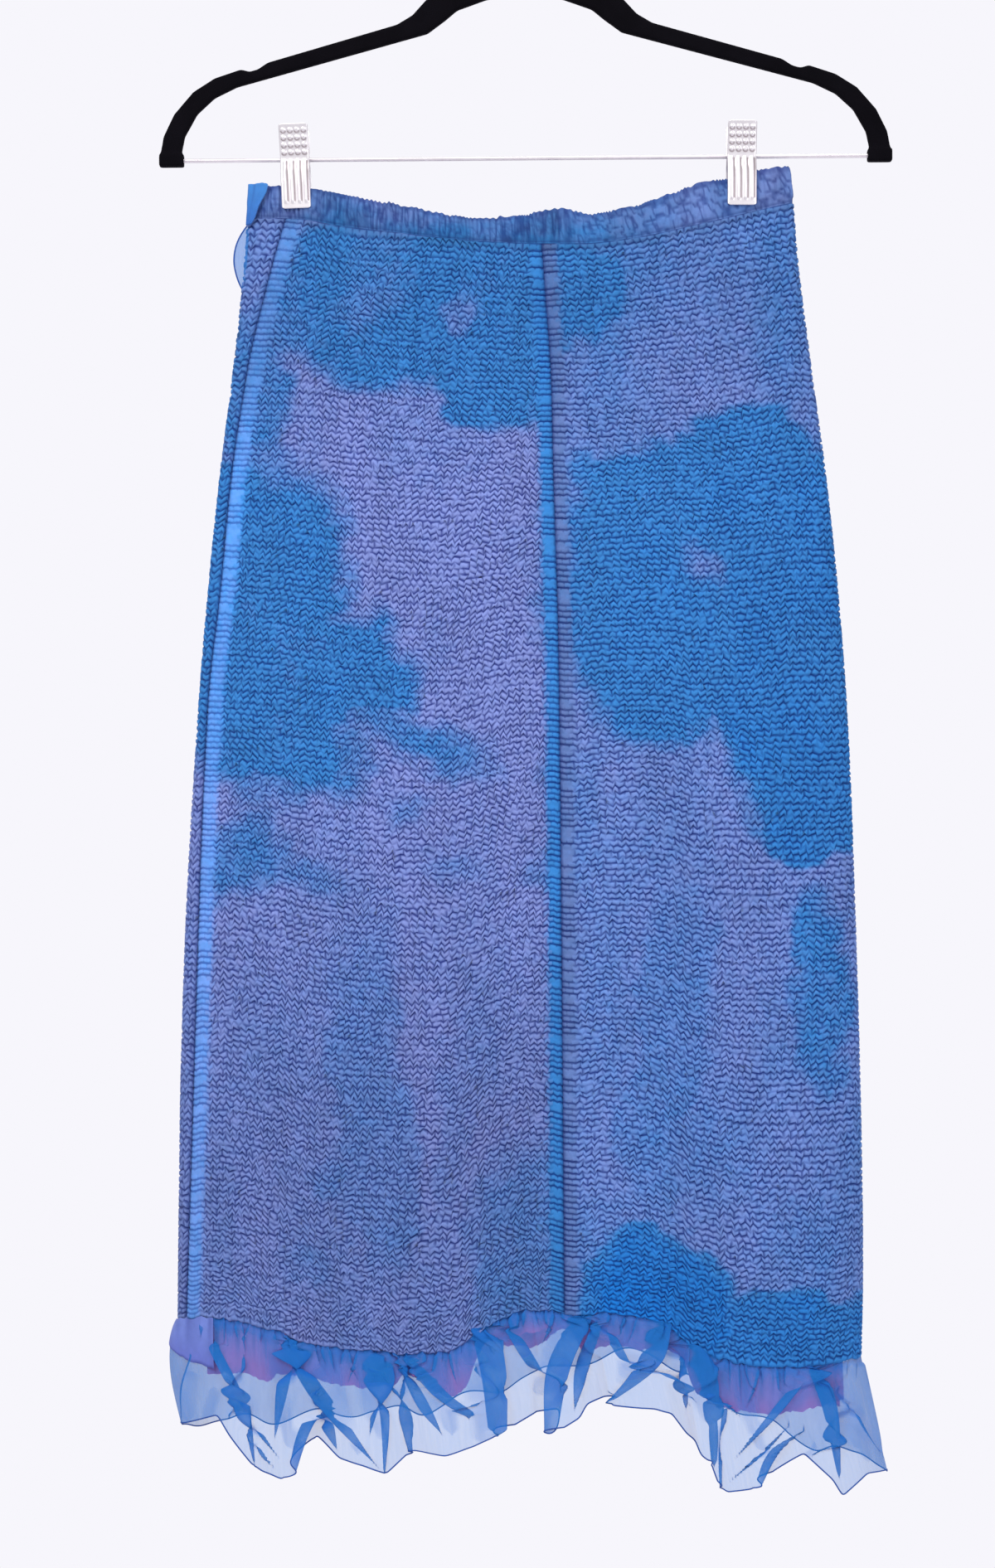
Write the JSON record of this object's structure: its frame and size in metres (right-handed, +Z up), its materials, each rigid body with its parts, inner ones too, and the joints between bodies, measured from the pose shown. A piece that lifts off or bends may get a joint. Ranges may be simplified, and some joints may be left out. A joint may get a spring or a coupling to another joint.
{
  "type": "crinkled skirt on a clip hanger",
  "caption": "Hand-dyed crinkled A-line midi skirt with a gathered elastic waist and a sheer hem ruffle, hanging flat from the clips and bar of a slim flocked hanger with a wire hook.",
  "frame": {"origin": "inside top of the hanger's hook, where the whole thing hangs", "axes": "+Z up, +X to the viewer's right, the front of the skirt faces -Y"},
  "size_m": [0.4441, 0.096, 1.0077],
  "materials": {
    "crinkle_lilac": "crinkled silk, lilac and blue dye",
    "crinkle_blue": "crinkled silk, blue and lilac dye",
    "waist_silk": "gathered silk over elastic",
    "underlayer_silk": "plain silk with a soft sheen",
    "sheer_organza": "sheer organza with a fine rolled edge",
    "folded_silk": "plain folded silk",
    "flocked_body": "black velvet flock on moulded plastic",
    "bright_wire": "polished chrome",
    "pressed_clip": "polished chrome, pressed ribs"
  },
  "bodies": {
    "root": {"front_left_gore": "crinkle_lilac", "front_right_gore": "crinkle_blue", "back_right_gore": "crinkle_lilac", "back_left_gore": "crinkle_blue", "waist_casing_front": "waist_silk", "waist_casing_back": "waist_silk", "underlayer_front": "underlayer_silk", "underlayer_back": "underlayer_silk", "hem_ruffle_front": "sheer_organza", "hem_ruffle_back": "sheer_organza", "side_tab": "folded_silk", "side_loop": "sheer_organza", "hanger_body": "flocked_body", "hanger_hook": "bright_wire", "hanger_bar": "bright_wire", "clip_left_front_leaf": "pressed_clip", "clip_left_back_leaf": "pressed_clip", "clip_left_spring": "bright_wire", "clip_right_front_leaf": "pressed_clip", "clip_right_back_leaf": "pressed_clip", "clip_right_spring": "bright_wire"}
  },
  "joints": []
}
